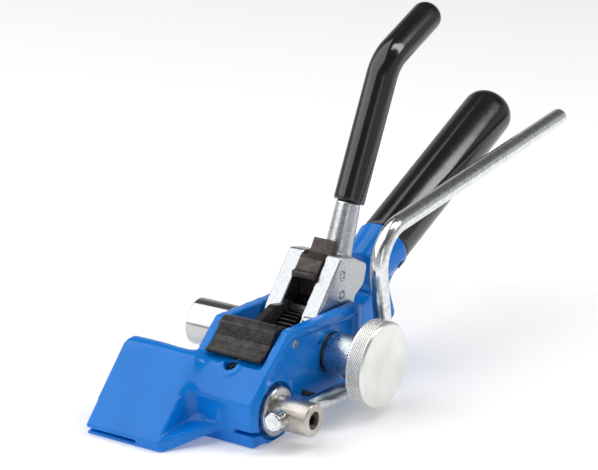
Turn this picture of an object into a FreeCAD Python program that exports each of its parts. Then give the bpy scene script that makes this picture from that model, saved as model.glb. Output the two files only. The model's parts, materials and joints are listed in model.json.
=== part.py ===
import FreeCAD, Part
import math
import os

V = FreeCAD.Vector

# Ratchet tensioner for steel strap. Millimetres.
# Every size below is taken from the windlass axis: X runs along the axis towards the knob,
# Y runs back towards the handles, Z is up. The finished parts are moved so that the
# origin is under the middle of the tool, on the surface that its sole rests on.

# ---- driving dimensions -------------------------------------------------------------
axis_height = 29.5          # windlass axis above the sole
wall_outer = 24.0           # half width over the two side walls
wall_thick = 6.0
wall_inner = wall_outer - wall_thick
panel_recess = 1.2          # the walls' outer panels lie this far below their rims
sole = -axis_height

plate_foot = (-78.8, -4.0)  # lower edge of the sloped front plate, (y, z)
plate_top = (-41.5, 25.4)   # where the plate meets the walls' top edge
wall_rear = (28.0, 20.5)    # rear end of the walls' top edge
plate_thick = 11.0

front_heel = -76.0          # foot of the upright front wall
pawl_pocket_depth = 4.5
plug_bore_at = 20.8         # distance of the plug's bore up the plate
spring_seat_at = 29.0       # distance of the holding pawl's spring up the plate
oil_hole = (-10.6, 8.8)
oil_hole_radius = 1.5
wall_pin_at = (-26.8, -14.2)
wall_pin_radius = 1.6

nose_left = -62.3
nose_right = -15.5
nose_front = -107.0
strap_width = 32.0
strap_slot = 2.0            # height of the strap slot
strap_slope = 16.0          # the strap climbs at this angle from the nose to the windlass
strap_entry = (-107.0, -27.3)

cutter_axis = (-58.0, -13.2)
cutter_radius = 13.5
boss_radius = 18.0
boss_face = 26.0
collar_radius = 9.1
collar_end = 50.0
rod_radius = 5.0
rod_x = 35.0
rod_slope = -5.2            # the rod's lower run falls at this angle towards the rear
rod_heel = 95.5             # length of that run from the cutter's axis
rod_knee = (25.4, 60.6)
rod_tip = (226.0, 77.4)

running_gap = 0.05          # radial clearance of every turning fit

windlass_left = -65.0
windlass_radius = 13.3
wheel_seat_radius = 10.0
journal_radius = 8.0
sleeve_radius = 12.0
bush_left_radius = 15.6
bush_right_radius = 10.8
knob_back = 46.4
knob_front = 57.2
knob_radius = 23.8

tooth_count = 48
wheel_radius = 21.5
wheel_root = 19.9
wheel_half = 7.0
tooth_pitch = 360.0 / tooth_count

yoke_half = 17.0
yoke_gap_half = 7.6
pawl_half = 7.1
drive_pin = (19.5, 25.6)
stop_pin = (19.9, 36.8)
yoke_pin_radius = 2.3
side_screw_at = (-8.6, 18.6)

hold_pin = (-34.2, 15.8)
hold_pin_radius = 2.4
hold_half = 17.4
rib_rise = 58.0             # slope of the thumb plate's ribbed face
rib_pitch = 1.15
held_tooth_right = -2.4     # the holding pawl's tooth bears on the wheel's left part only

stem_foot = (40.0, 37.0)    # lever stem's centre line, (y, z)
stem_top = (52.2, 67.0)
lever_bend = (89.6, 139.0)
lever_bend_radius = 24.0
lever_tip = (138.0, 156.8)
stem_foot_radius = 8.2
stem_top_radius = 6.8
lever_grip_radius = 8.8

handle_rim = (88.3, 31.6)   # fixed handle's centre line, (y, z)
handle_tip = (212.0, 83.8)
handle_grip_radius = 15.0
handle_bar_radius = 11.0
lock_screw_radius = 2.5
socket_radius = 16.0
socket_depth = 24.0

web_half = 11.0             # half thickness of the rear web

first_face = 2.0            # angle of the tooth face that the driving pawl pushes
held_face = first_face + 13 * tooth_pitch


# ---- drawing helpers -----------------------------------------------------------------
def box(x0, x1, y0, y1, z0, z1):
    return Part.makeBox(x1 - x0, y1 - y0, z1 - z0, V(x0, y0, z0))


def bar_x(radius, x0, x1, at=(0.0, 0.0)):
    """Round bar along X, with its axis through (y, z)."""
    return Part.makeCylinder(radius, x1 - x0, V(x0, at[0], at[1]), V(1, 0, 0))


def bar(radius, start, end):
    return Part.makeCylinder(radius, (end - start).Length, start, end - start)


def taper(radius0, radius1, start, end):
    return Part.makeCone(radius0, radius1, (end - start).Length, start, end - start)


def at_x(point, x=0.0):
    return V(x, point[0], point[1])


def rounded_wire(corners, place):
    """Closed outline with an arc at each corner (a, b, radius); place maps (a, b) to space."""
    count = len(corners)
    edges = []
    ends = []
    for i in range(count):
        here = V(corners[i][0], corners[i][1], 0)
        before = V(corners[i - 1][0], corners[i - 1][1], 0)
        after = V(corners[(i + 1) % count][0], corners[(i + 1) % count][1], 0)
        radius = corners[i][2]
        to_before = (before - here).normalize()
        to_after = (after - here).normalize()
        half = to_before.getAngle(to_after) / 2
        reach = radius / math.tan(half)
        middle = (to_before + to_after).normalize() * (radius / math.sin(half))
        crown = here + middle - (to_before + to_after).normalize() * radius
        ends.append((here + to_before * reach, crown, here + to_after * reach, radius))
    for i in range(count):
        start, crown, stop, radius = ends[i]
        if radius > 0:
            edges.append(Part.Arc(place(start), place(crown), place(stop)).toShape())
        following = ends[(i + 1) % count][0]
        if (following - stop).Length > 1e-6:
            edges.append(Part.LineSegment(place(stop), place(following)).toShape())
    return Part.Wire(edges)


def prism_x(corners, x0, x1):
    """Side outline of (y, z, corner radius) pulled along X."""
    wire = rounded_wire(corners, lambda p: V(x0, p.x, p.y))
    return Part.Face(wire).extrude(V(x1 - x0, 0, 0))


def prism_z(corners, z0, z1):
    """Plan outline of (x, y, corner radius) pulled up along Z."""
    wire = rounded_wire(corners, lambda p: V(p.x, p.y, z0))
    return Part.Face(wire).extrude(V(0, 0, z1 - z0))


def join(first, *others):
    return first.multiFuse(list(others)).removeSplitter()


def ring_x(outer, inner, x0, x1, at=(0.0, 0.0)):
    return bar_x(outer, x0, x1, at).cut(bar_x(inner, x0 - 1, x1 + 1, at))


def coil(wire_radius, coil_radius, pitch, height, base, direction):
    """Helical spring standing on base and pointing along direction."""
    helix = Part.makeHelix(pitch, height, coil_radius)
    section = Part.Wire(Part.Circle(V(coil_radius, 0, 0), V(0, 1, 0), wire_radius).toShape())
    spring = Part.Wire(helix).makePipeShell([section], True, True)
    turn = FreeCAD.Rotation(V(0, 0, 1), direction)
    spring.Placement = FreeCAD.Placement(base, turn)
    return spring


def bent_bar(radius, points, bends):
    """Round bar through points, with a tangent bend of the given radius at each inner one."""
    edges = []
    reached = points[0]
    for before, here, after, bend in zip(points, points[1:], points[2:], bends):
        to_before = (before - here).normalize()
        to_after = (after - here).normalize()
        half = to_before.getAngle(to_after) / 2
        reach = bend / math.tan(half)
        crown = here + (to_before + to_after).normalize() * (bend / math.sin(half) - bend)
        edges.append(Part.LineSegment(reached, here + to_before * reach).toShape())
        edges.append(Part.Arc(here + to_before * reach, crown, here + to_after * reach).toShape())
        reached = here + to_after * reach
    edges.append(Part.LineSegment(reached, points[-1]).toShape())
    section = Part.Wire(Part.Circle(points[0], points[1] - points[0], radius).toShape())
    return Part.Wire(edges).makePipeShell([section], True, True)


def along(direction_deg, distance, start=(0.0, 0.0)):
    """Point in the (y, z) plane at an angle above +Y."""
    angle = math.radians(direction_deg)
    return (start[0] + distance * math.cos(angle), start[1] + distance * math.sin(angle))


def turned(shape, degrees, about):
    """Copy of a shape turned about the X direction through (y, z)."""
    copy = shape.copy()
    copy.rotate(V(0, about[0], about[1]), V(1, 0, 0), degrees)
    return copy


# ---- body ----------------------------------------------------------------------------
plate_rise = math.degrees(math.atan2(plate_top[1] - plate_foot[1], plate_top[0] - plate_foot[0]))


def on_plate(distance, depth=0.0):
    """Point on the front plate, a distance up from its foot and a depth below its face."""
    surface = along(plate_rise, distance, plate_foot)
    return along(plate_rise - 90, depth, surface)


def side_wall_outline():
    return [
        (front_heel, sole, 2.5),
        (plate_foot[0], plate_foot[1], 2.5),
        (plate_top[0], plate_top[1], 5.0),
        (wall_rear[0], wall_rear[1], 2.0),
        (wall_rear[0], -20.0, 4.0),
        (-30.0, sole, 8.0),
    ]


def side_walls():
    walls = prism_x(side_wall_outline(), wall_inner, wall_outer)
    return walls, prism_x(side_wall_outline(), -wall_outer, -wall_inner)


def wall_panels():
    """Shallow pockets in the outer faces of the walls."""
    rim = 4.0
    corners = [
        (-34.0, sole - 10, 1.0),
        (-40.0, -4.0, 6.0),
        (-52.0, 10.5, 2.0),
        (plate_top[0] + 2.0, plate_top[1] - rim - 1, 5.0),
        (wall_rear[0] + 20, wall_rear[1] - rim - 3.5, 2.0),
        (wall_rear[0] + 20, sole - 10, 2.0),
    ]
    right = prism_x(corners, wall_outer - panel_recess, wall_outer + 5)
    left = prism_x(corners, -wall_outer - 5, -wall_outer + panel_recess)
    return right, left


def front_plate():
    """Sloped plate with the upright front wall below it."""
    slope = prism_x(
        [
            (*on_plate(0.0), 2.5),
            (*on_plate(31.0), 1.5),
            (*on_plate(31.0, plate_thick), 1.0),
            (*on_plate(10.0, plate_thick), 3.0),
            (front_heel + 5, sole, 1.0),
            (front_heel, sole, 2.0),
        ],
        -wall_outer + 1,
        wall_outer - 1,
    )
    floor = prism_x(
        [(front_heel, sole, 1.0), (front_heel, -25.5, 1.0), (-38.0, -25.5, 2.0), (-36.0, sole, 1.0)],
        -wall_outer + 1, wall_outer - 1,
    )
    return slope, floor


def cutter_boss():
    return bar_x(boss_radius, -wall_outer, boss_face, cutter_axis).common(
        box(-wall_outer, boss_face, -90, 0, sole, 20)
    )


def nose_side(x, face_rise, ridge, ridge_radius):
    """Side outline of the nose at one X: lip, sloped face, rounded ridge and back."""
    foot = (nose_front - 0.3, -23.8)
    face_top = along(face_rise + 90, ridge_radius, ridge)
    crown = along(70, ridge_radius, ridge)
    back = along(15, ridge_radius, ridge)
    heel = (-40.5, -8.0)
    corners = [(nose_front + 0.6, sole), foot, face_top]
    edges = [Part.LineSegment(at_x(p, x), at_x(q, x)).toShape() for p, q in zip(corners, corners[1:])]
    edges.append(Part.Arc(at_x(face_top, x), at_x(crown, x), at_x(back, x)).toShape())
    rear = [back, heel, (-39.0, sole), corners[0]]
    edges += [Part.LineSegment(at_x(p, x), at_x(q, x)).toShape() for p, q in zip(rear, rear[1:])]
    return Part.Wire(edges)


def nose():
    """Wedge nose outside the left wall, which guides the strap to the cutter."""
    left = nose_side(nose_left, 45.9, (-66.7, 0.9), 12.0)
    right = nose_side(nose_right, 42.0, (-64.3, 5.1), 7.3)
    return Part.makeLoft([left, right], True, True)


def nose_corner():
    """Metal that runs from the nose into the front plate, with a hollow inside corner."""
    radius = 6.5
    front = plate_foot[0] + 0.6
    far = 3.0
    ruled = []
    for x, rise, foot in ((nose_right - 1, 38.0, (nose_front, -23.8)), (far, plate_rise, plate_foot)):
        low = (-95.0, foot[1] + (-95.0 - foot[0]) * math.tan(math.radians(rise)))
        high = (-66.0, foot[1] + (-66.0 - foot[0]) * math.tan(math.radians(rise)))
        outline = (low, high, (-66.0, sole + 8), (-95.0, sole + 8), low)
        ruled.append(Part.makePolygon([at_x(p, x) for p in outline]))
    block = Part.makeLoft(ruled, True, True)
    centre = (nose_right + radius, front - radius)
    middle = (centre[0] - radius * math.sqrt(0.5), centre[1] + radius * math.sqrt(0.5))
    hollow = Part.Arc(V(nose_right, centre[1], -40), V(middle[0], middle[1], -40), V(centre[0], front, -40))
    corners = [(centre[0], front), (far, front), (far, -66.0), (nose_right - 1, -66.0),
               (nose_right - 1, centre[1]), (nose_right, centre[1])]
    edges = [Part.LineSegment(V(*p, -40), V(*q, -40)).toShape() for p, q in zip(corners, corners[1:])]
    plan = Part.Face(Part.Wire([hollow.toShape()] + edges)).extrude(V(0, 0, 80))
    return block.common(plan)


def gusset():
    """Triangular shelf between the nose and the front wall, thin at its rear."""
    plan = prism_z(
        [(nose_right - 2, -105.5, 0.5), (nose_right + 1.5, -105.8, 1.0), (4.5, -76.5, 1.5),
         (3.0, -72.0, 0.5), (nose_right - 2, -72.0, 0.5)],
        sole, sole + 20,
    )
    side = prism_x(
        [(-108.0, sole, 0.3), (-108.0, -22.6, 0.3), (-72.0, -17.6, 0.3), (-72.0, -21.2, 0.3),
         (-103.0, sole, 0.5)],
        nose_right - 10, 10.0,
    )
    return plan.common(side)


def rear_web():
    """Web that rises from the walls' rear end into the fixed handle's socket."""
    web = prism_x(
        [
            (14.0, sole + 2, 2.0),
            (34.0, sole + 2, 6.0),
            (78.6, -11.6, 3.0),
            (85.4, -6.6, 3.0),
            (78.0, 13.0, 4.0),
            (89.0, 22.0, 2.0),
            (84.0, 34.0, 2.0),
            (68.0, 27.0, 4.0),
            (60.0, 11.0, 6.0),
            (36.0, 10.0, 5.0),
            (27.0, -14.0, 5.0),
            (14.0, -20.0, 2.0),
        ],
        -web_half, web_half,
    )
    shoulder = prism_z(
        [(-wall_outer, 22.0, 1.0), (-wall_outer, wall_rear[0], 3.0), (-web_half - 1, 40.0, 8.0),
         (-web_half + 4, 66.0, 2.0), (web_half - 4, 66.0, 2.0), (web_half + 1, 40.0, 8.0),
         (wall_outer, wall_rear[0], 3.0), (wall_outer, 22.0, 1.0)],
        sole + 4, 20.0,
    )
    shoulder = shoulder.common(prism_x(
        [(20.0, sole + 2, 2.0), (34.0, sole + 2, 6.0), (70.0, -14.8, 2.0), (70.0, 18.0, 2.0),
         (46.0, 10.0, 9.0), (wall_rear[0] + 3, wall_rear[1] - 1.2, 3.0), (20.0, 21.0, 1.0)], -40, 40))
    return web, shoulder


def handle_direction():
    return at_x(handle_tip) - at_x(handle_rim)


def handle_socket():
    unit = handle_direction().normalize()
    rim = at_x(handle_rim)
    back = rim - unit * socket_depth
    return taper(13.0, socket_radius, back, rim)


def strap_slot_cut():
    """Slot for the strap, open at the nose's left side, from the nose to behind the cutter."""
    length = 90.0
    slot = box(nose_left - 2, nose_left + strap_width, -2, length, -strap_slot / 2, strap_slot / 2)
    slot.rotate(V(0, 0, 0), V(1, 0, 0), strap_slope)
    slot.translate(at_x(strap_entry))
    return slot


def plug_bore():
    """Bore in a low round boss below the holding pawl's lip."""
    return bar(3.6, at_x(on_plate(plug_bore_at, -2.0)), at_x(on_plate(plug_bore_at, 7.0)))


def plug_boss():
    return bar(6.6, at_x(on_plate(plug_bore_at - 0.8, -0.9)), at_x(on_plate(plug_bore_at - 0.8, 8.0)))


def spring_seat():
    return bar(3.2, at_x(on_plate(spring_seat_at, 2.0)), at_x(on_plate(spring_seat_at, 9.4)))


def pawl_pocket():
    """Pocket below the holding pawl's thumb plate: shallow at its lip, then deeper."""
    front = 21.9
    return prism_x(
        [(*on_plate(front, 1.3), 0.8), (*on_plate(front, -9.0), 0.5), (-30.0, 40.0, 0.5),
         (-20.0, 10.0, 0.5), (*on_plate(40.0, pawl_pocket_depth), 0.5),
         (*on_plate(31.0, pawl_pocket_depth), 3.0)],
        -wall_inner, wall_inner,
    )


def lever_chamber():
    """Room between the walls for the ratchet wheel and for the yoke's swing."""
    front_half = box(-wall_inner, wall_inner, -40, 0, sole + 4, 60)
    rear_half = box(-wall_inner, wall_inner, -0.5, 60, sole + 4, 60)
    above_web = prism_x(
        [(0.0, -1.0, 0.5), (61.0, 12.0, 0.5), (90.0, 14.0, 0.5), (90.0, 90.0, 0.5), (0.0, 90.0, 0.5)],
        -wall_inner, wall_inner,
    )
    wheel_room = bar_x(31.0, -wall_inner, wall_inner).common(front_half)
    yoke_room = bar_x(33.5, -wall_inner, wall_inner).common(rear_half)
    swing_room = bar_x(61.5, -wall_inner, wall_inner).common(above_web)
    return join(wheel_room, yoke_room, swing_room)


def main_body():
    walls = side_walls()
    body = walls[0].cut(wall_panels()[0])
    left = walls[1].cut(wall_panels()[1])
    web, shoulder = rear_web()
    slope, floor = front_plate()
    body = join(body, left, slope, floor, cutter_boss(), nose(), gusset(), nose_corner(), web, shoulder,
                handle_socket(), plug_boss())
    body = body.cut(bar_x(cutter_radius + running_gap, nose_left - 1, boss_face + 1, cutter_axis))
    slit = box(12.0, boss_face + 1, -90, cutter_axis[0], -22.4, -20.6)
    openings = [
        strap_slot_cut(),
        slit,
        pawl_pocket(),
        plug_bore(),
        spring_seat(),
        bar_x(cutter_radius + 2.3, boss_face - 4.0, boss_face + 1, cutter_axis),
        bar_x(hold_pin_radius, -wall_outer - 1, wall_outer + 1, hold_pin),
        bar_x(bush_left_radius, -wall_outer - 2, 0, (0, 0)),
        bar_x(bush_right_radius, 0, wall_outer + 2, (0, 0)),
        bar_x(oil_hole_radius, wall_inner - 1, wall_outer + 1, oil_hole),
        bar_x(wall_pin_radius, wall_inner + 1, wall_outer + 8, wall_pin_at),
        bar(handle_bar_radius, handle_point(-20.0), handle_point(4.0)),
        bar(lock_screw_radius, lock_screw_point(7.0), lock_screw_point(30.0)),
        lever_chamber(),
    ]
    for opening in openings:
        body = body.cut(opening)
    return body


# ---- fixed handle --------------------------------------------------------------------
def handle_point(distance):
    """Point on the fixed handle's axis, measured outwards from the socket's rim."""
    return at_x(handle_rim) + handle_direction().normalize() * distance


def lock_screw_point(distance):
    """Point on the locking screw's axis, which crosses the socket from its right side below."""
    side = V(0.86, 0.20, -0.47).normalize()
    return handle_point(-5.0) + side * distance


def fixed_handle_bar():
    core = bar(handle_bar_radius, handle_point(-20.0), handle_point(112.0))
    return core.cut(bar(lock_screw_radius, lock_screw_point(7.0), lock_screw_point(30.0)))


def rounded_end(shape, end, radius):
    """Round off the one circular edge that is centred on a point."""
    return shape.makeFillet(radius, [e for e in shape.Edges if (e.CenterOfMass - end).Length < 0.01])


def fixed_handle_grip():
    length = handle_direction().Length
    tube = bar(handle_grip_radius, handle_point(1.0), handle_point(length))
    tube = rounded_end(tube, handle_point(length), 11.0)
    tube = rounded_end(tube, handle_point(1.0), 1.0)
    return tube.cut(bar(handle_bar_radius, handle_point(-2.0), handle_point(112.0)))


def handle_lock_screw():
    screw = bar(lock_screw_radius, lock_screw_point(7.0), lock_screw_point(15.4))
    start = lock_screw_point(13.4)
    key = Part.makeCylinder(1.3, 3, start, lock_screw_point(20) - start)
    return screw.cut(key)


# ---- windlass ------------------------------------------------------------------------
def windlass_shaft():
    shaft = join(
        bar_x(windlass_radius, windlass_left, -yoke_half - 1.0),
        bar_x(wheel_seat_radius, -yoke_half - 1.0, yoke_half + 1.0),
        bar_x(journal_radius, yoke_half + 1.0, knob_front - 4.0),
    )
    rim = shaft.Edges
    mouth = [e for e in rim if abs(e.CenterOfMass.x - windlass_left) < 0.01]
    shaft = shaft.makeFillet(0.8, mouth)
    slot = box(windlass_left - 1, -26.0, -20, 20, -1.6, 1.6)
    slot = turned(slot, -24.0, (0, 0))
    shaft = shaft.cut(slot)
    shaft = shaft.cut(key_block())
    return shaft.cut(sleeve_pin())


def key_block():
    return box(-wheel_half, wheel_half, -2.5, 2.5, wheel_seat_radius - 2.5, wheel_seat_radius + 2.2)


def tooth_edge(face_angle):
    """Points of one ratchet tooth: up the long flank, then down the radial face."""
    low = along(face_angle - tooth_pitch, wheel_root)
    high = along(face_angle, wheel_radius)
    foot = along(face_angle, wheel_root)
    return [low, high, foot]


def ratchet_wheel():
    points = []
    for tooth in range(tooth_count):
        low, high, foot = tooth_edge(first_face + tooth * tooth_pitch)
        points += [at_x(low, -wheel_half), at_x(high, -wheel_half)]
    points.append(points[0])
    wheel = Part.Face(Part.makePolygon(points)).extrude(V(2 * wheel_half, 0, 0))
    wheel = wheel.cut(bar_x(wheel_seat_radius, -wheel_half - 1, wheel_half + 1))
    return wheel.cut(key_block())


def knob():
    disc = bar_x(knob_radius, knob_back, knob_front)
    disc = disc.makeFillet(1.2, [e for e in disc.Edges if abs(e.CenterOfMass.x - knob_back) < 0.01])
    disc = disc.makeChamfer(1.4, [e for e in disc.Edges if abs(e.CenterOfMass.x - knob_front) < 0.01])
    dimple = Part.makeSphere(30.0, V(knob_front + 29.4, 0, 0))
    return disc.cut(dimple).cut(bar_x(journal_radius, knob_back - 1, knob_front - 4.0))


def knob_sleeve():
    sleeve = ring_x(sleeve_radius, journal_radius, wall_outer + 1.4, knob_back)
    return sleeve.cut(sleeve_pin())


def sleeve_pin():
    return bar(2.0, V(35.0, 0, -sleeve_radius + 0.3), V(35.0, 0, sleeve_radius - 0.3))


def thrust_ring():
    return ring_x(sleeve_radius - 0.4, journal_radius, wall_outer + 0.25, wall_outer + 1.4)


def bush_left():
    return ring_x(bush_left_radius, windlass_radius + running_gap, -wall_outer - 0.6, -wall_inner)


def bush_right():
    return ring_x(bush_right_radius, journal_radius + running_gap, wall_inner, wall_outer + 0.1)


def side_washers():
    return [ring_x(15.5, wheel_seat_radius, x0, x0 + 0.6) for x0 in (yoke_half + 0.15, -yoke_half - 0.75)]


# ---- tension lever -------------------------------------------------------------------
def yoke_outline():
    return [
        (-16.5, -12.0, 14.0),
        (-13.6, 12.0, 8.0),
        (19.3, 47.6, 3.2),
        (31.5, 44.2, 4.0),
        (45.5, 36.5, 3.5),
        (42.0, 25.8, 4.0),
        (33.0, 21.0, 4.0),
        (29.0, 8.0, 6.0),
        (17.5, -11.0, 12.0),
    ]


def lever_stem():
    return taper(stem_foot_radius, stem_top_radius, at_x(stem_foot), at_x(stem_top))


def lever_yoke():
    cheeks = prism_x(yoke_outline(), -yoke_half, yoke_half)
    hub = bar_x(16.6, -yoke_half, yoke_half)
    yoke = join(cheeks, hub, lever_stem(), lever_core())
    rear = [
        (-40.0, -40.0, 1.0), (-40.0, 60.0, 1.0), (26.5, 60.0, 1.0), (33.5, 42.0, 2.0), (30.8, 28.0, 3.0),
        (30.8, 13.0, 1.0), (40.0, 11.0, 1.0), (40.0, -40.0, 1.0),
    ]
    yoke = yoke.cut(prism_x(rear, -yoke_gap_half, yoke_gap_half))
    yoke = yoke.cut(bar_x(wheel_seat_radius + running_gap, -yoke_half - 1, yoke_half + 1))
    for pin in (drive_pin, stop_pin):
        yoke = yoke.cut(bar_x(yoke_pin_radius, -yoke_half - 1, yoke_half + 1, pin))
    notch = bar_x(2.9, 11.0, yoke_half + 1, side_screw_at)
    return yoke.cut(notch)


def lever_bar_points():
    return at_x(stem_top), at_x(lever_bend), at_x(lever_tip)


def lever_core():
    """Bent steel core of the tension lever, inside the grip."""
    start, corner, end = lever_bar_points()
    inner_end = end + (corner - end).normalize() * 6
    return bent_bar(stem_top_radius - 1.3, [start, corner, inner_end], [lever_bend_radius])


def lever_grip():
    start, corner, end = lever_bar_points()
    tube = bent_bar(lever_grip_radius, [start, corner, end], [lever_bend_radius])
    tube = rounded_end(tube, end, 6.5)
    tube = rounded_end(tube, start, 0.8)
    return tube.cut(lever_core()).cut(lever_stem())


def pawl_tip(face, gap_deg):
    """Three points of a pawl's tip: it pushes the tooth face and clears the flank behind it."""
    clear = face + gap_deg
    return [
        along(clear + tooth_pitch, wheel_radius + 0.5),
        along(clear, wheel_root + 0.35),
        along(clear, wheel_radius + 0.9),
    ]


def drive_pawl():
    """Driving pawl: thumb tab at the top, pivot in the middle, tooth at the foot."""
    heel, tip, nose_top = pawl_tip(first_face, 0.45)
    upper = prism_x(
        [
            (6.0, 36.0, 1.6), (6.4, 39.4, 1.2), (9.8, 39.6, 0.6), (14.9, 44.8, 0.8), (24.2, 45.6, 1.0),
            (28.8, 52.3, 0.7), (31.2, 51.3, 0.6), (29.3, 44.0, 2.0), (26.5, 40.0, 1.0), (24.8, 21.0, 2.0),
            (14.0, 22.0, 3.0), (13.8, 33.0, 2.0),
        ],
        -pawl_half, pawl_half,
    )
    arm = prism_x(
        [(16.5, 25.0, 1.0), (24.0, 25.0, 1.0), (26.6, 12.0, 3.0), (25.4, 3.0, 1.0), (*nose_top, 0.3),
         (*tip, 0.2), (*heel, 0.3), (22.4, 9.0, 2.0), (19.0, 20.0, 2.0)],
        -pawl_half + 1.2, pawl_half - 1.2,
    )
    pawl = join(upper, arm, bar_x(5.2, -pawl_half, pawl_half, drive_pin))
    pawl = pawl.cut(bar_x(yoke_pin_radius + running_gap, -20, 20, drive_pin))
    return pawl.cut(stop_pin_slot())


def stop_pin_slot():
    """Curved slot that lets the driving pawl rock about its pivot past the fixed stop pin."""
    slot = bar_x(yoke_pin_radius + 0.4, -20, 20, stop_pin)
    for step in range(1, 6):
        slot = slot.fuse(turned(bar_x(yoke_pin_radius + 0.4, -20, 20, stop_pin), -2.0 * step, drive_pin))
    return slot.removeSplitter()


def drive_pawl_spring():
    return coil(0.4, 2.2, 1.2, 3.2, V(0, 27.0, 16.6), V(0, 1, 0.0))


def drive_pawl_pin():
    return bar_x(yoke_pin_radius, -yoke_half + 0.4, yoke_half - 0.4, drive_pin)


def pawl_stop_pin():
    return bar_x(yoke_pin_radius, -yoke_half + 0.4, yoke_half - 0.4, stop_pin)


def yoke_side_screw():
    shank = bar_x(2.6, 11.2, yoke_half - 0.6, side_screw_at)
    y, z = side_screw_at
    return shank.cut(box(yoke_half - 1.6, yoke_half + 1, y - 1.4, y + 1.4, z - 0.4, z + 0.4))


# ---- holding pawl --------------------------------------------------------------------
def holding_pawl():
    """Wide thumb plate in front of the pin, with one narrow tooth behind it."""
    heel, tip, nose_top = pawl_tip(held_face, 1.0)
    plate = prism_x(
        [
            (-61.0, 11.2, 1.0), (-59.9, 13.9, 0.5), (-52.3, 17.2, 2.0), (-47.0, 25.4, 2.5),
            (-42.0, 27.2, 3.0), (-38.0, 25.6, 2.5), (-28.6, 22.0, 5.0), (-28.2, 10.2, 5.0),
            (-39.4, 9.8, 4.5), (-44.5, 17.5, 2.0), (-51.5, 14.4, 2.0),
        ],
        -hold_half, hold_half,
    )
    for groove in range(6):
        centre = along(rib_rise, groove * rib_pitch - 0.2, (-50.6, 19.6))
        plate = plate.cut(bar_x(0.36, -hold_half - 1, hold_half + 1, along(rib_rise + 90, 0.12, centre)))
    tooth = prism_x(
        [(-34.0, 21.6, 1.0), (-16.0, 27.0, 6.0), (nose_top[0] - 0.6, nose_top[1] + 2.4, 1.0),
         (*nose_top, 0.3), (*tip, 0.2), (*heel, 0.3), (-15.0, 18.0, 2.0), (-24.0, 14.5, 4.0),
         (-34.0, 12.0, 1.0)],
        -pawl_half + 0.6, held_tooth_right,
    )
    pawl = join(plate, tooth)
    return pawl.cut(bar_x(hold_pin_radius + running_gap, -20, 20, hold_pin))


def holding_pawl_pin():
    return bar_x(hold_pin_radius, -wall_outer + 1.4, wall_outer - 1.4, hold_pin)


def holding_pawl_spring():
    base = at_x(on_plate(spring_seat_at, 8.9))
    top = at_x(on_plate(spring_seat_at, 2.2))
    return coil(0.45, 2.4, 1.7, (top - base).Length, base, top - base)


def bore_plug():
    plug = bar(3.6, at_x(on_plate(plug_bore_at, 4.0)), at_x(on_plate(plug_bore_at, 7.0)))
    key = bar(1.6, at_x(on_plate(plug_bore_at, 3.0)), at_x(on_plate(plug_bore_at, 5.8)))
    return plug.cut(key)


# ---- cutter --------------------------------------------------------------------------
def cutter_shaft():
    shaft = bar_x(cutter_radius, nose_left + 0.4, boss_face + 2.0, cutter_axis)
    right_rim = [e for e in shaft.Edges if abs(e.CenterOfMass.x - boss_face - 2.0) < 0.01]
    shaft = shaft.makeChamfer(0.8, right_rim)
    stub = bar_x(6.0, boss_face + 1.0, rod_x + rod_radius - 0.2, cutter_axis)
    shaft = join(shaft, stub)
    half = strap_slot / 2 + 0.2
    slot = box(nose_left - 2, nose_left + strap_width + 1, -20, 20, -half, half)
    slot.rotate(V(0, 0, 0), V(1, 0, 0), strap_slope)
    slot.translate(at_x(cutter_axis))
    shaft = shaft.cut(slot)
    return shaft.cut(rod_hole())


def rod_hole():
    return bar(rod_radius, rod_point(-40.0), rod_point(40.0))


def rod_point(distance):
    """Point on the lever rod's lower run, measured back from the cutter's axis."""
    return at_x(along(rod_slope, distance, cutter_axis), rod_x)


def cutter_collar():
    collar = bar_x(collar_radius, boss_face + 2.0, collar_end, cutter_axis)
    front = [e for e in collar.Edges if abs(e.CenterOfMass.x - collar_end) < 0.01]
    collar = collar.makeChamfer(0.5, front)
    collar = collar.cut(bar_x(6.0, boss_face, rod_x + rod_radius, cutter_axis))
    collar = collar.cut(bar_x(4.9, rod_x, collar_end + 1, cutter_axis))
    return collar.cut(rod_hole())


def cutter_set_screw():
    hexagon = Part.Face(Part.makePolygon([
        V(collar_end - 4.5, *along(60 * i, 2.9, cutter_axis)) for i in range(7)
    ])).extrude(V(6, 0, 0))
    screw = bar_x(4.9, rod_x + rod_radius + 0.1, collar_end - 1.3, cutter_axis)
    return screw.cut(hexagon)


def cutter_lever_rod():
    """Bent round bar: back past the knob, up behind it and then back to the hand."""
    tip = at_x(rod_tip, rod_x)
    points = [rod_point(-17.4), rod_point(rod_heel), at_x(rod_knee, rod_x), tip]
    rod = bent_bar(rod_radius, points, [15.0, 22.0])
    return rod.fuse(Part.makeSphere(rod_radius, tip)).removeSplitter()


def wall_pin():
    return bar_x(wall_pin_radius, wall_inner + 1, wall_outer + 5.2, wall_pin_at)


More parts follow.
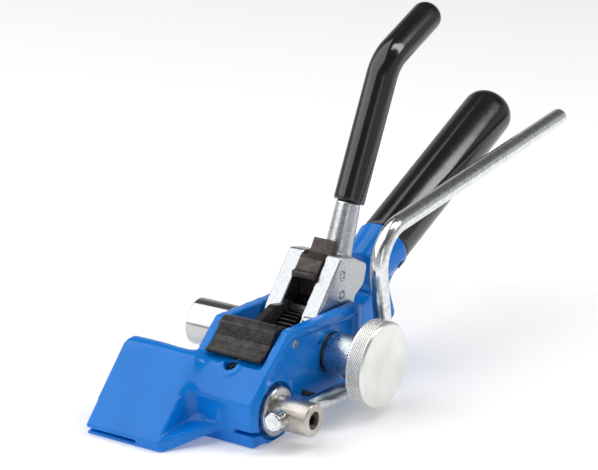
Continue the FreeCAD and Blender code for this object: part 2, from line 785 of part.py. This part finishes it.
parts = {
    "main_body": main_body(),
    "fixed_handle_bar": fixed_handle_bar(),
    "fixed_handle_grip": fixed_handle_grip(),
    "handle_lock_screw": handle_lock_screw(),
    "windlass_shaft": windlass_shaft(),
    "ratchet_wheel": ratchet_wheel(),
    "ratchet_key": key_block(),
    "knob": knob(),
    "knob_sleeve": knob_sleeve(),
    "sleeve_pin": sleeve_pin(),
    "thrust_ring": thrust_ring(),
    "windlass_bush_left": bush_left(),
    "windlass_bush_right": bush_right(),
    "lever_yoke": lever_yoke(),
    "lever_grip": lever_grip(),
    "driving_pawl": drive_pawl(),
    "driving_pawl_spring": drive_pawl_spring(),
    "driving_pawl_pin": drive_pawl_pin(),
    "pawl_stop_pin": pawl_stop_pin(),
    "yoke_side_screw": yoke_side_screw(),
    "holding_pawl": holding_pawl(),
    "holding_pawl_pin": holding_pawl_pin(),
    "holding_pawl_spring": holding_pawl_spring(),
    "bore_plug": bore_plug(),
    "cutter_shaft": cutter_shaft(),
    "cutter_collar": cutter_collar(),
    "cutter_set_screw": cutter_set_screw(),
    "cutter_lever_rod": cutter_lever_rod(),
    "wall_pin": wall_pin(),
    "yoke_side_washers": Part.makeCompound(side_washers()),
}

os.makedirs("parts", exist_ok=True)
whole = Part.makeCompound(list(parts.values()))
bounds = whole.optimalBoundingBox(False)
shift = V(-bounds.Center.x, -bounds.Center.y, -bounds.ZMin)
for name, shape in parts.items():
    shape.translate(shift)
    shape.exportStep("parts/" + name + ".step")
    print("%-22s valid %s solids %d volume %.0f" % (name, shape.isValid(), len(shape.Solids), shape.Volume))
print("windlass axis at", shift, "size", bounds.XLength, bounds.YLength, bounds.ZLength)
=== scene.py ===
import json
import math

import bmesh
import bpy
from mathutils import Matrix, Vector, noise


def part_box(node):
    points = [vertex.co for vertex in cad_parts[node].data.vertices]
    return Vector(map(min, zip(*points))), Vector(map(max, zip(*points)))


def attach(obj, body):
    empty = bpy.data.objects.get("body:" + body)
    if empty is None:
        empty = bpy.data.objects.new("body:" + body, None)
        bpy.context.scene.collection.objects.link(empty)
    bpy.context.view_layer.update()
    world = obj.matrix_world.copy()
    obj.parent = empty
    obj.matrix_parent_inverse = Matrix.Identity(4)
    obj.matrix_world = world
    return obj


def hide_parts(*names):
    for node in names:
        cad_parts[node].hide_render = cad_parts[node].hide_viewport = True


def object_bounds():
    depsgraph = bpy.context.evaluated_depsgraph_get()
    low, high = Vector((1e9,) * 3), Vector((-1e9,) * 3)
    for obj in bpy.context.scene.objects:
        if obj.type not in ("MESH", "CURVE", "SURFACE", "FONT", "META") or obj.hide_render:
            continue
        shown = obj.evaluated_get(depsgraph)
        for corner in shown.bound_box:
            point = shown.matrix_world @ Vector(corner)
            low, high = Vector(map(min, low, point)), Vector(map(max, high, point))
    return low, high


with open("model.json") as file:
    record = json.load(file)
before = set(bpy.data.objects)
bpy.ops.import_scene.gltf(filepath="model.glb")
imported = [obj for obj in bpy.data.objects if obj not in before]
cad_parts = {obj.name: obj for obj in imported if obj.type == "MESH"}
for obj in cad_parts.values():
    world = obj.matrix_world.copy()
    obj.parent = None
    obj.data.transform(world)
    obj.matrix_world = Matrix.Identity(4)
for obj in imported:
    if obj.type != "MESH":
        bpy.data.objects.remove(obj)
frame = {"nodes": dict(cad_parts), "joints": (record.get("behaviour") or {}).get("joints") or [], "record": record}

MM = 0.001
cad_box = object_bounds()
joints = {joint["name"]: joint for joint in frame["joints"]}
body_of_node = {
    node: body
    for body, members in frame["record"]["behaviour"]["bodies"].items()
    for node in members
}
windlass_axis = Vector(joints["windlass_turn"]["pos_m"])
knurl_pitch = 1.5 * MM
knurl_depth = 0.35 * MM


# ---- node helpers for the finishes -----------------------------------------------------
class Finish:
    """One material: a Principled shader, and short ways to feed its sockets with patterns."""

    def __init__(self, name, metallic, roughness, **constants):
        self.material = bpy.data.materials.new(name)
        self.material.use_nodes = True
        self.tree = self.material.node_tree
        self.shader = self.tree.nodes["Principled BSDF"]
        self.shader.inputs["Metallic"].default_value = metallic
        self.shader.inputs["Roughness"].default_value = roughness
        for socket, value in constants.items():
            self.shader.inputs[socket.replace("_", " ")].default_value = value
        self.object_coordinates = self.tree.nodes.new("ShaderNodeTexCoord").outputs["Object"]
        self.height = None

    def stretched(self, centre, scale):
        """Object coordinates measured from a centre and scaled per axis."""
        mapping = self.tree.nodes.new("ShaderNodeMapping")
        mapping.inputs["Location"].default_value = [-c * s for c, s in zip(centre, scale)]
        mapping.inputs["Scale"].default_value = scale
        self.tree.links.new(self.object_coordinates, mapping.inputs["Vector"])
        return mapping.outputs["Vector"]

    def noise(self, scale, detail=3.0, roughness=0.5, vector=None):
        texture = self.tree.nodes.new("ShaderNodeTexNoise")
        texture.inputs["Scale"].default_value = scale
        texture.inputs["Detail"].default_value = detail
        texture.inputs["Roughness"].default_value = roughness
        self.tree.links.new(vector or self.object_coordinates, texture.inputs["Vector"])
        return texture.outputs["Fac"]

    def cells(self, scale):
        texture = self.tree.nodes.new("ShaderNodeTexVoronoi")
        texture.inputs["Scale"].default_value = scale
        self.tree.links.new(self.object_coordinates, texture.inputs["Vector"])
        return texture.outputs["Distance"]

    def distance_from_axis(self, centre):
        """Distance from the X-wise line through a centre, in metres."""
        flat = self.stretched(centre, (0.0, 1.0, 1.0))
        length = self.tree.nodes.new("ShaderNodeVectorMath")
        length.operation = "LENGTH"
        self.tree.links.new(flat, length.inputs[0])
        return length.outputs["Value"]

    def rings(self, centre, spacing):
        """Fine turning marks round an X-wise axis, as noise along the radius."""
        combine = self.tree.nodes.new("ShaderNodeCombineXYZ")
        self.tree.links.new(self.distance_from_axis(centre), combine.inputs["X"])
        return self.noise(1.0 / spacing, detail=2.0, vector=combine.outputs["Vector"])

    def raised_above(self, value, bottom, top, amount):
        """A pattern whose values rise by an amount between two heights."""
        split = self.tree.nodes.new("ShaderNodeSeparateXYZ")
        self.tree.links.new(self.object_coordinates, split.inputs["Vector"])
        add = self.tree.nodes.new("ShaderNodeMath")
        self.tree.links.new(value, add.inputs[0])
        self.tree.links.new(self.scaled(split.outputs["Z"], 0.0, amount, bottom, top), add.inputs[1])
        return add.outputs["Value"]

    def scaled(self, value, low, high, from_low=0.3, from_high=0.7):
        node = self.tree.nodes.new("ShaderNodeMapRange")
        node.inputs["From Min"].default_value = from_low
        node.inputs["From Max"].default_value = from_high
        node.inputs["To Min"].default_value = low
        node.inputs["To Max"].default_value = high
        self.tree.links.new(value, node.inputs["Value"])
        return node.outputs["Result"]

    def colour(self, value, *stops):
        """Colours the surface by a pattern; each stop is (position, (r, g, b))."""
        ramp = self.tree.nodes.new("ShaderNodeValToRGB")
        elements = ramp.color_ramp.elements
        while len(elements) < len(stops):
            elements.new(0.5)
        for element, (position, rgb) in zip(elements, stops):
            element.position = position
            element.color = (*rgb, 1.0)
        self.tree.links.new(value, ramp.inputs["Fac"])
        self.tree.links.new(ramp.outputs["Color"], self.shader.inputs["Base Color"])

    def roughen(self, value, low, high):
        self.tree.links.new(self.scaled(value, low, high), self.shader.inputs["Roughness"])

    def bump(self, value, depth, strength=1.0):
        """Adds a relief of the given depth, in metres, on top of the ones before it."""
        node = self.tree.nodes.new("ShaderNodeBump")
        node.inputs["Strength"].default_value = strength
        node.inputs["Distance"].default_value = depth
        self.tree.links.new(value, node.inputs["Height"])
        if self.height is not None:
            self.tree.links.new(self.height, node.inputs["Normal"])
        self.height = node.outputs["Normal"]
        self.tree.links.new(self.height, self.shader.inputs["Normal"])


# ---- finishes --------------------------------------------------------------------------
def blue_enamel():
    """Thick sprayed enamel over a casting: glossy, with a slow ripple and fine orange peel."""
    finish = Finish("blue_enamel", 0.0, 0.2, Specular_IOR_Level=0.28, Coat_Weight=0.08, Coat_Roughness=0.06)
    finish.colour(finish.noise(38.0, 2.0), (0.35, (0.001, 0.180, 0.640)), (0.65, (0.002, 0.210, 0.720)))
    finish.roughen(finish.noise(260.0), 0.13, 0.22)
    finish.bump(finish.noise(70.0, 2.0), 0.35 * MM, 0.5)
    finish.bump(finish.noise(520.0, 2.0), 0.05 * MM, 0.5)
    return finish.material


def black_vinyl():
    """Dipped vinyl: deep gloss with a soft unevenness and faint scuffs."""
    finish = Finish("black_vinyl", 0.0, 0.2, Specular_IOR_Level=0.75)
    finish.colour(finish.noise(60.0), (0.3, (0.0035, 0.0035, 0.0040)), (0.75, (0.0080, 0.0080, 0.0085)))
    finish.roughen(finish.noise(900.0, 4.0), 0.10, 0.17)
    finish.bump(finish.noise(55.0, 1.0), 0.20 * MM, 0.3)
    finish.bump(finish.noise(1400.0, 2.0), 0.02 * MM, 0.4)
    return finish.material


def zinc_plate(name="zinc_plate", dark=(0.42, 0.44, 0.46), light=(0.52, 0.54, 0.555), relief=0.07):
    """Zinc plating over a rough forging: finely mottled and pitted, with a painted highlight lightening it above
    the lever neck.
    """
    finish = Finish(name, 1.0, 0.3)
    grain = finish.noise(1100.0, 5.0, 0.6)
    # Painted highlight: the colour pattern is pushed lighter over the 14 mm above the lever neck and stays lighter
    # higher up.
    neck = windlass_axis.z + 62.0 * MM
    finish.colour(
        finish.raised_above(grain, neck, neck + 14.0 * MM, 0.30),
        (0.32, dark), (0.56, light), (0.80, (0.86, 0.88, 0.89)),
    )
    finish.roughen(finish.noise(300.0, 4.0), 0.22, 0.36)
    finish.bump(finish.noise(900.0, 4.0), relief * MM, 0.8)
    finish.bump(finish.cells(1300.0), 0.02 * MM, 0.5)
    return finish.material


def drawn_rod():
    """Zinc plating on drawn bar: smoother and brighter than on the forgings."""
    finish = Finish("drawn_rod", 1.0, 0.18)
    finish.colour(finish.noise(420.0, 4.0, 0.6), (0.30, (0.58, 0.62, 0.65)), (0.58, (0.84, 0.86, 0.86)))
    finish.roughen(finish.noise(500.0, 3.0), 0.12, 0.22)
    finish.bump(finish.noise(450.0, 3.0), 0.03 * MM, 0.6)
    return finish.material


def polished_steel():
    """Ground and polished bar, with faint marks round its axis."""
    finish = Finish("polished_steel", 1.0, 0.12)
    finish.colour(finish.noise(90.0), (0.3, (0.52, 0.52, 0.51)), (0.7, (0.64, 0.64, 0.63)))
    marks = finish.noise(1.0, 2.0, vector=finish.stretched(windlass_axis, (3200.0, 60.0, 60.0)))
    finish.roughen(marks, 0.07, 0.16)
    finish.bump(marks, 0.01 * MM, 0.3)
    return finish.material


def turned_face():
    """Turned and lightly tumbled face of the knob."""
    finish = Finish("turned_face", 1.0, 0.3)
    finish.colour(finish.noise(55.0, 3.0), (0.3, (0.74, 0.75, 0.71)), (0.7, (0.88, 0.89, 0.85)))
    marks = finish.rings(windlass_axis, 0.35 * MM)
    finish.roughen(marks, 0.26, 0.40)
    finish.bump(marks, 0.012 * MM, 0.5)
    finish.bump(finish.noise(700.0, 3.0), 0.02 * MM, 0.5)
    return finish.material


def knurled_steel():
    """Bright crests, with painted shade darkening the grooves between them."""
    finish = Finish("knurled_steel", 1.0, 0.28)
    radius = (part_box("knob")[1].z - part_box("knob")[0].z) / 2
    crest = finish.scaled(
        finish.distance_from_axis(windlass_axis), 0.0, 1.0, radius - knurl_depth, radius,
    )
    # Painted shade: the colour darkens from the crests down into the knurl grooves.
    finish.colour(crest, (0.10, (0.30, 0.30, 0.29)), (0.80, (0.96, 0.96, 0.93)))
    finish.roughen(finish.noise(800.0), 0.18, 0.34)
    finish.bump(finish.noise(1500.0), 0.02 * MM, 0.5)
    return finish.material


def nickel_steel():
    """Dull, slightly warm nickel on a turned collar."""
    finish = Finish("nickel_steel", 1.0, 0.34)
    finish.colour(finish.noise(140.0, 3.0), (0.35, (0.45, 0.41, 0.37)), (0.65, (0.58, 0.54, 0.49)))
    axis = Vector(joints["cutter_lever_swing"]["pos_m"])
    marks = finish.noise(1.0, 2.0, vector=finish.stretched(axis, (2600.0, 90.0, 90.0)))
    finish.roughen(marks, 0.28, 0.40)
    finish.bump(marks, 0.01 * MM, 0.4)
    return finish.material


def black_oxide():
    """Black oxide on a profile-ground pawl: satin, dusty at its ribs."""
    finish = Finish("black_oxide", 0.55, 0.4, Specular_IOR_Level=0.5)
    grain = finish.noise(320.0, 5.0, 0.6)
    finish.colour(grain, (0.35, (0.016, 0.0155, 0.015)), (0.70, (0.066, 0.062, 0.059)))
    finish.roughen(finish.noise(700.0, 4.0), 0.28, 0.42)
    finish.bump(finish.noise(900.0, 3.0), 0.03 * MM, 0.8)
    return finish.material


def hardened_steel():
    """Oil-quenched steel: dark warm grey and matt."""
    finish = Finish("hardened_steel", 0.65, 0.45, Specular_IOR_Level=0.5)
    grain = finish.noise(260.0, 5.0, 0.6)
    finish.colour(grain, (0.35, (0.050, 0.041, 0.038)), (0.70, (0.105, 0.090, 0.082)))
    finish.roughen(finish.noise(600.0, 4.0), 0.38, 0.58)
    finish.bump(finish.noise(800.0, 3.0), 0.03 * MM, 0.8)
    return finish.material


def tooth_steel():
    """Black ratchet wheel, rubbed bright where the pawls ride on its tooth tips."""
    finish = Finish("tooth_steel", 0.8, 0.35)
    radius = (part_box("ratchet_wheel")[1].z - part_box("ratchet_wheel")[0].z) / 2
    depth = finish.scaled(finish.distance_from_axis(windlass_axis), 0.0, 1.0, radius - 0.9 * MM, radius)
    finish.colour(depth, (0.55, (0.012, 0.012, 0.012)), (0.95, (0.30, 0.29, 0.28)))
    finish.bump(finish.noise(900.0, 3.0), 0.02 * MM, 0.6)
    return finish.material


def bearing_bronze():
    finish = Finish("bearing_bronze", 1.0, 0.35)
    finish.colour(finish.noise(300.0, 4.0), (0.3, (0.36, 0.21, 0.09)), (0.7, (0.55, 0.35, 0.16)))
    finish.roughen(finish.noise(600.0), 0.28, 0.45)
    return finish.material


def spring_wire():
    finish = Finish("spring_wire", 1.0, 0.3)
    finish.colour(finish.noise(600.0, 3.0), (0.3, (0.22, 0.22, 0.23)), (0.7, (0.42, 0.42, 0.43)))
    finish.roughen(finish.noise(900.0), 0.22, 0.40)
    return finish.material


# ---- shaping helpers -------------------------------------------------------------------
def merged(node, name):
    """Copy of a CAD node as one welded mesh."""
    piece = bpy.data.objects.new(name, frame["nodes"][node].data.copy())
    bpy.context.scene.collection.objects.link(piece)
    mesh = bmesh.new()
    mesh.from_mesh(piece.data)
    bmesh.ops.remove_doubles(mesh, verts=mesh.verts, dist=0.002 * MM)
    mesh.to_mesh(piece.data)
    mesh.free()
    return piece


def finalise(piece):
    """Bakes the modifiers into the piece's own mesh."""
    shown = piece.evaluated_get(bpy.context.evaluated_depsgraph_get())
    mesh = bpy.data.meshes.new_from_object(shown)
    piece.modifiers.clear()
    piece.data = mesh
    return piece


def shade(piece, material, smooth=True):
    piece.data.materials.clear()
    piece.data.materials.append(material)
    for face in piece.data.polygons:
        face.use_smooth = smooth
        face.material_index = 0


def stands_for(piece, *nodes):
    """The piece rides where its node did and is shown instead of it."""
    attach(piece, body_of_node[nodes[0]])
    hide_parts(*nodes)
    return piece


def cast(node, name, material, grain, passes, pitting=0.0):
    """Remodels a node in an even skin and relaxes it, so every edge is softly rounded."""
    piece = merged(node, name)
    skin = piece.modifiers.new("skin", "REMESH")
    skin.mode = "VOXEL"
    skin.voxel_size = grain
    relax = piece.modifiers.new("relax", "SMOOTH")
    relax.factor = 0.5
    relax.iterations = passes
    finalise(piece)
    if pitting:
        normals = [vertex.normal.copy() for vertex in piece.data.vertices]
        for vertex, normal in zip(piece.data.vertices, normals):
            vertex.co += normal * pitting * noise.noise(vertex.co * 180.0)
    shade(piece, material)
    return stands_for(piece, node)


def melted(piece, weight_at, passes):
    """Relaxes the piece's surface most where weight_at is near one."""
    group = piece.vertex_groups.new(name="melted")
    for vertex in piece.data.vertices:
        weight = weight_at(vertex.co - windlass_axis, vertex.normal)
        if weight > 0.01:
            group.add([vertex.index], weight, "REPLACE")
    relax = piece.modifiers.new("melt", "SMOOTH")
    relax.factor = 0.5
    relax.iterations = passes
    relax.vertex_group = group.name
    finalise(piece)
    piece.vertex_groups.clear()


def nose_to_plate(point, normal):
    """One on the upper surface along the line where the nose runs into the front plate."""
    from_left = (point.x + 46.0 * MM) / (20.0 * MM)
    from_boss = (-5.0 * MM - point.x) / (6.0 * MM)
    from_hollow = (point.y + 87.0 * MM) / (8.0 * MM)
    from_wall = (-57.0 * MM - point.y) / (5.0 * MM)
    return max(0.0, min(1.0, from_left, from_boss, from_hollow, from_wall, normal.z * 4.0))


def eased(node, name, material, width, segments=2):
    """A machined piece: flat faces joined up and every sharp edge broken by a small round."""
    piece = merged(node, name)
    mesh = bmesh.new()
    mesh.from_mesh(piece.data)
    bmesh.ops.dissolve_limit(
        mesh, angle_limit=math.radians(0.4), use_dissolve_boundaries=False,
        verts=mesh.verts, edges=mesh.edges, delimit=set(),
    )
    mesh.to_mesh(piece.data)
    mesh.free()
    shade(piece, material)
    rounds = piece.modifiers.new("broken edges", "BEVEL")
    rounds.width = width
    rounds.segments = segments
    rounds.limit_method = "ANGLE"
    rounds.angle_limit = math.radians(32)
    rounds.harden_normals = True
    rounds.miter_outer = "MITER_ARC"
    finalise(piece)
    return stands_for(piece, node)


# ---- pieces ----------------------------------------------------------------------------
def knurled_rim(material, face_material):
    """The knob: its rim cut with crossed spiral grooves, a chamfer and a shallow dished face."""
    low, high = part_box("knob")
    axis = Vector((0.0, windlass_axis.y, windlass_axis.z))
    radius = (high.z - low.z) / 2
    dish = 0.6 * MM
    around = 900
    rows = 34
    chamfer = 1.3 * MM
    back_round = 1.1 * MM
    profile = [(low.x, 9.0 * MM), (low.x, radius - back_round)]
    for step in range(1, 5):
        turn = step / 5 * math.pi / 2
        across, inwards = back_round * (1 - math.cos(turn)), back_round * (1 - math.sin(turn))
        profile.append((low.x + across, radius - inwards))
    rim_start = low.x + back_round
    rim_end = high.x - chamfer
    profile += [(rim_start + (rim_end - rim_start) * row / rows, radius) for row in range(rows + 1)]
    profile += [(high.x - 0.12 * MM, radius - chamfer * 0.92), (high.x, radius - chamfer - 0.25 * MM)]
    crown = radius - chamfer - 0.25 * MM
    for step in range(1, 24):
        reach = crown * (1 - step / 24)
        profile.append((high.x - dish * (1 - (reach / crown) ** 2), reach))
    mesh = bmesh.new()
    ring = [mesh.verts.new(axis + Vector((x, r, 0.0))) for x, r in profile]
    line = [mesh.edges.new(pair) for pair in zip(ring, ring[1:])]
    bmesh.ops.spin(
        mesh, geom=ring + line, cent=axis, axis=(1, 0, 0), angle=math.tau, steps=around,
        use_merge=True, use_duplicate=False,
    )
    bmesh.ops.remove_doubles(mesh, verts=mesh.verts, dist=0.001 * MM)
    holes = [edge for edge in mesh.edges if edge.is_boundary]
    bmesh.ops.holes_fill(mesh, edges=holes, sides=0)
    turns = round(math.tau * radius / knurl_pitch)
    for vertex in mesh.verts:
        flat = vertex.co - axis
        if math.hypot(flat.y, flat.z) < radius - 0.01 * MM:
            continue
        if not rim_start - 0.01 * MM < flat.x < rim_end + 0.01 * MM:
            continue
        angle = math.atan2(flat.z, flat.y) / math.tau * turns
        along = (flat.x - rim_start) / knurl_pitch
        edge = min(1.0, (flat.x - rim_start) / (0.5 * MM), (rim_end - flat.x) / (0.5 * MM))
        grooves = max(
            abs(math.cos(math.pi * (angle + along))) ** 10,
            abs(math.cos(math.pi * (angle - along))) ** 10,
        )
        shrink = 1.0 - knurl_depth * grooves * max(0.0, edge) / radius
        vertex.co = axis + Vector((flat.x, flat.y * shrink, flat.z * shrink))
    bmesh.ops.recalc_face_normals(mesh, faces=mesh.faces)
    data = bpy.data.meshes.new("knob_rim")
    mesh.to_mesh(data)
    mesh.free()
    piece = bpy.data.objects.new("knob_turned", data)
    bpy.context.scene.collection.objects.link(piece)
    shade(piece, material)
    data.materials.append(face_material)
    for face in data.polygons:
        centre = face.center - axis
        reach = math.hypot(centre.y, centre.z)
        if reach < radius - 0.35 * MM:
            face.material_index = 1
    return stands_for(piece, "knob")


enamel = blue_enamel()
vinyl = black_vinyl()
zinc = zinc_plate()
sleeve_zinc = zinc_plate("sleeve_zinc", (0.22, 0.27, 0.32), (0.62, 0.67, 0.70), 0.14)
rod_zinc = drawn_rod()
polished = polished_steel()
nickel = nickel_steel()
oxide = black_oxide()
hardened = hardened_steel()
bronze = bearing_bronze()

body_casting = cast("main_body", "body_casting", enamel, 0.80 * MM, 5, 0.04 * MM)
melted(body_casting, nose_to_plate, 320)
cast("fixed_handle_grip", "handle_sleeve", vinyl, 0.85 * MM, 8)
cast("lever_grip", "lever_sleeve", vinyl, 0.60 * MM, 8)
cast("lever_yoke", "lever_forging", zinc, 0.50 * MM, 9, 0.05 * MM)
cast("cutter_lever_rod", "cutter_rod", rod_zinc, 0.50 * MM, 8)
knurled_rim(knurled_steel(), turned_face())
eased("windlass_shaft", "windlass_bar", polished, 0.4 * MM)
eased("knob_sleeve", "sleeve_turned", sleeve_zinc, 0.5 * MM)
eased("holding_pawl", "holding_pawl_ground", oxide, 0.22 * MM)
eased("driving_pawl", "driving_pawl_ground", hardened, 0.35 * MM)
eased("ratchet_wheel", "ratchet_teeth", tooth_steel(), 0.12 * MM, 1)
eased("cutter_shaft", "cutter_barrel", zinc, 0.3 * MM)
eased("cutter_collar", "collar_turned", nickel, 0.3 * MM)
eased("cutter_set_screw", "set_screw_turned", oxide, 0.15 * MM)

plain_nodes = {
    "fixed_handle_bar": zinc,
    "handle_lock_screw": oxide,
    "ratchet_key": hardened,
    "sleeve_pin": hardened,
    "thrust_ring": hardened,
    "windlass_bush_left": bronze,
    "windlass_bush_right": bronze,
    "yoke_side_washers": zinc,
    "driving_pawl_spring": spring_wire(),
    "holding_pawl_spring": spring_wire(),
    "bore_plug": oxide,
}
for node, material in plain_nodes.items():
    shade(frame["nodes"][node], material, smooth=False)
for node in ("driving_pawl_pin", "pawl_stop_pin", "yoke_side_screw", "holding_pawl_pin", "wall_pin"):
    eased(node, node + "_turned", hardened if node == "wall_pin" else zinc, 0.35 * MM)


# ---- floor, light and camera -----------------------------------------------------------
def floor():
    mesh = bmesh.new()
    bmesh.ops.create_grid(mesh, x_segments=1, y_segments=1, size=9.0)
    data = bpy.data.meshes.new("floor")
    mesh.to_mesh(data)
    mesh.free()
    piece = bpy.data.objects.new("floor", data)
    bpy.context.scene.collection.objects.link(piece)
    finish = Finish("paper", 0.0, 0.8)
    finish.shader.inputs["Base Color"].default_value = (0.93, 0.93, 0.93, 1.0)
    finish.shader.inputs["Emission Color"].default_value = (1.0, 1.0, 1.0, 1.0)
    finish.shader.inputs["Emission Strength"].default_value = 0.21
    piece.data.materials.append(finish.material)
    piece.location.z = -0.0002


def softbox(name, location, target, size, power, colour=(1.0, 1.0, 1.0)):
    data = bpy.data.lights.new(name, "AREA")
    data.shape = "RECTANGLE"
    data.size, data.size_y = size
    data.energy = power
    data.color = colour
    lamp = bpy.data.objects.new(name, data)
    bpy.context.scene.collection.objects.link(lamp)
    lamp.location = location
    lamp.rotation_euler = (Vector(target) - Vector(location)).to_track_quat("-Z", "Y").to_euler()


def surroundings():
    """A pale room for metal to reflect: bright up to a third of the height, darker above."""
    world = bpy.data.worlds.new("room")
    bpy.context.scene.world = world
    world.use_nodes = True
    tree = world.node_tree
    direction = tree.nodes.new("ShaderNodeTexCoord")
    split = tree.nodes.new("ShaderNodeSeparateXYZ")
    ramp = tree.nodes.new("ShaderNodeValToRGB")
    stops = [(0.0, 0.85), (0.33, 0.80), (0.48, 0.30), (0.66, 0.18), (1.0, 0.24)]
    elements = ramp.color_ramp.elements
    while len(elements) < len(stops):
        elements.new(0.5)
    for element, (position, level) in zip(elements, stops):
        element.position = position
        element.color = (level, level, level * 1.01, 1.0)
    tree.links.new(direction.outputs["Generated"], split.inputs["Vector"])
    tree.links.new(split.outputs["Z"], ramp.inputs["Fac"])
    background = tree.nodes["Background"]
    tree.links.new(ramp.outputs["Color"], background.inputs["Color"])
    background.inputs["Strength"].default_value = 0.6


def camera():
    """Looks at the windlass from the right front, slightly from above, with a long lens."""
    azimuth, elevation = math.radians(33.6), math.radians(19.3)
    aside, above, distance = 1.6 * MM, 59.4 * MM, 1633.5 * MM
    back = Vector((
        math.sin(azimuth) * math.cos(elevation),
        -math.cos(azimuth) * math.cos(elevation),
        math.sin(elevation),
    ))
    right = Vector((math.cos(azimuth), math.sin(azimuth), 0.0))
    up = back.cross(right)
    data = bpy.data.cameras.new("camera")
    data.sensor_width = 36.0
    data.lens = 180.6
    data.clip_start = 0.05
    data.clip_end = 50.0
    view = bpy.data.objects.new("camera", data)
    bpy.context.scene.collection.objects.link(view)
    view.location = windlass_axis + right * aside + up * above + back * distance
    view.rotation_euler = (math.pi / 2 - elevation, 0.0, azimuth)
    bpy.context.scene.camera = view


floor()
surroundings()
middle = (cad_box[0] + cad_box[1]) / 2
key_from = Vector((-0.52, -0.35, 0.78)) * 1.5
strip_from = Vector((0.51, 0.31, 0.80)) * 1.2
front_from = Vector((0.75, -0.62, 0.22)) * 1.6
softbox("key", middle + key_from, middle, (2.1, 2.1), 24.0)
softbox("strip", middle + strip_from, middle, (0.26, 1.2), 6.5)
softbox("front", middle + front_from, middle, (0.5, 1.0), 1.1)
camera()
bpy.context.scene.view_settings.view_transform = "Standard"
